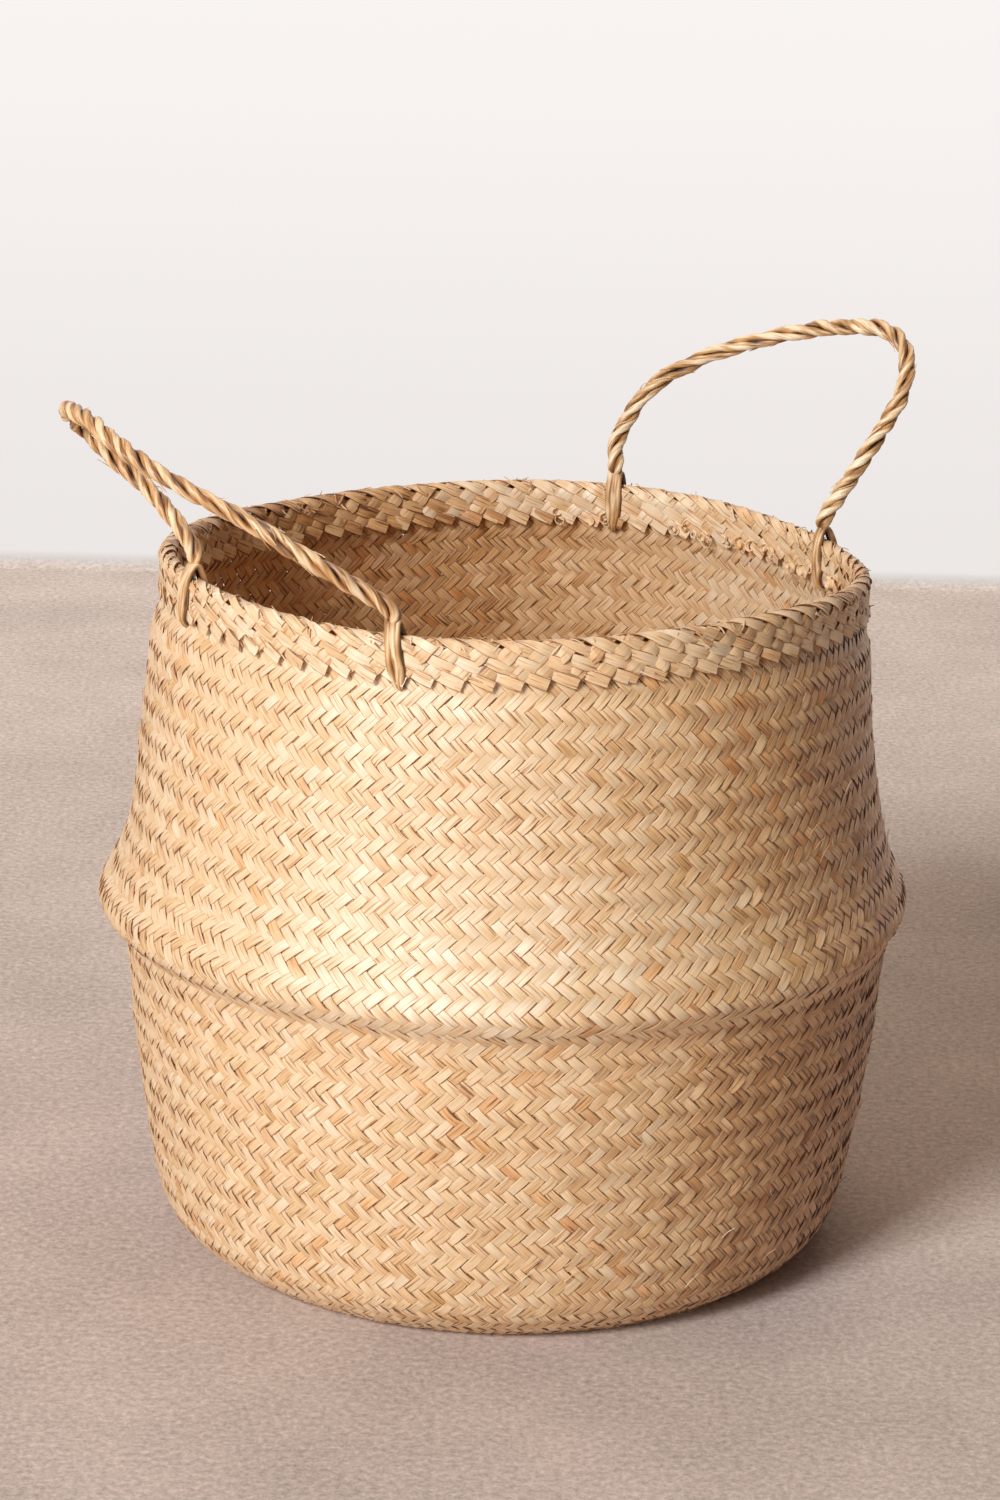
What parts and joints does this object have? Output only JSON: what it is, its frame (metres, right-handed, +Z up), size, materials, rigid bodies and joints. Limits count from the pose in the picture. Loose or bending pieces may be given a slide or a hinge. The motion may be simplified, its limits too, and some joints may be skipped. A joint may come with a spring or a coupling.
{
  "type": "belly basket",
  "caption": "Round belly basket of plaited seagrass with a folded belly line, a turned-over locked rim and a twisted rope handle on each side.",
  "frame": {"origin": "centre of the flat underside, on the floor that the basket stands on", "axes": "+Z up along the basket's axis, -Y towards the front in the picture, +X to the right in it"},
  "size_m": [0.4152, 0.3994, 0.4485],
  "materials": {
    "seagrass_base": "plaited dry seagrass, satin",
    "seagrass_wall": "plaited dry seagrass, satin",
    "seagrass_belly": "plaited dry seagrass, satin",
    "seagrass_rim": "folded dry seagrass, satin",
    "seagrass_lock": "twined dry seagrass, satin",
    "seagrass_rope": "twisted dry seagrass rope, satin"
  },
  "bodies": {
    "lower_body": {"base_mat": "seagrass_base", "base_edge": "seagrass_base", "lower_wall": "seagrass_wall"},
    "upper_body": {"belly_band": "seagrass_belly", "upper_wall": "seagrass_wall", "rim_band_outer": "seagrass_rim", "rim_band_inner": "seagrass_rim", "rim_edge_braid": "seagrass_rim", "lock_row_outer": "seagrass_lock", "lock_row_inner": "seagrass_lock", "strap_left_back": "seagrass_rope", "strap_left_front": "seagrass_rope", "strap_right_back": "seagrass_rope", "strap_right_front": "seagrass_rope"},
    "handle_left": {"handle_left_rope": "seagrass_rope"},
    "handle_right": {"handle_right_rope": "seagrass_rope"}
  },
  "joints": [
    {"name": "belly_fold", "type": "slide", "parent": "lower_body", "child": "upper_body", "axis": [0, 0, -1], "range_m": [0, 0.05], "deforming": ["belly_band"]},
    {"name": "handle_left_swing", "type": "hinge", "parent": "upper_body", "child": "handle_left", "pos_m": [-0.14943, -0.07288, 0.3598], "axis": [-0.7487, 0.6624, 0.025], "range_deg": [-50, 110]},
    {"name": "handle_right_swing", "type": "hinge", "parent": "upper_body", "child": "handle_right", "pos_m": [0.05275, 0.15766, 0.35648], "axis": [0.7252, -0.6882, -0.0238], "range_deg": [-60, 128]}
  ]
}
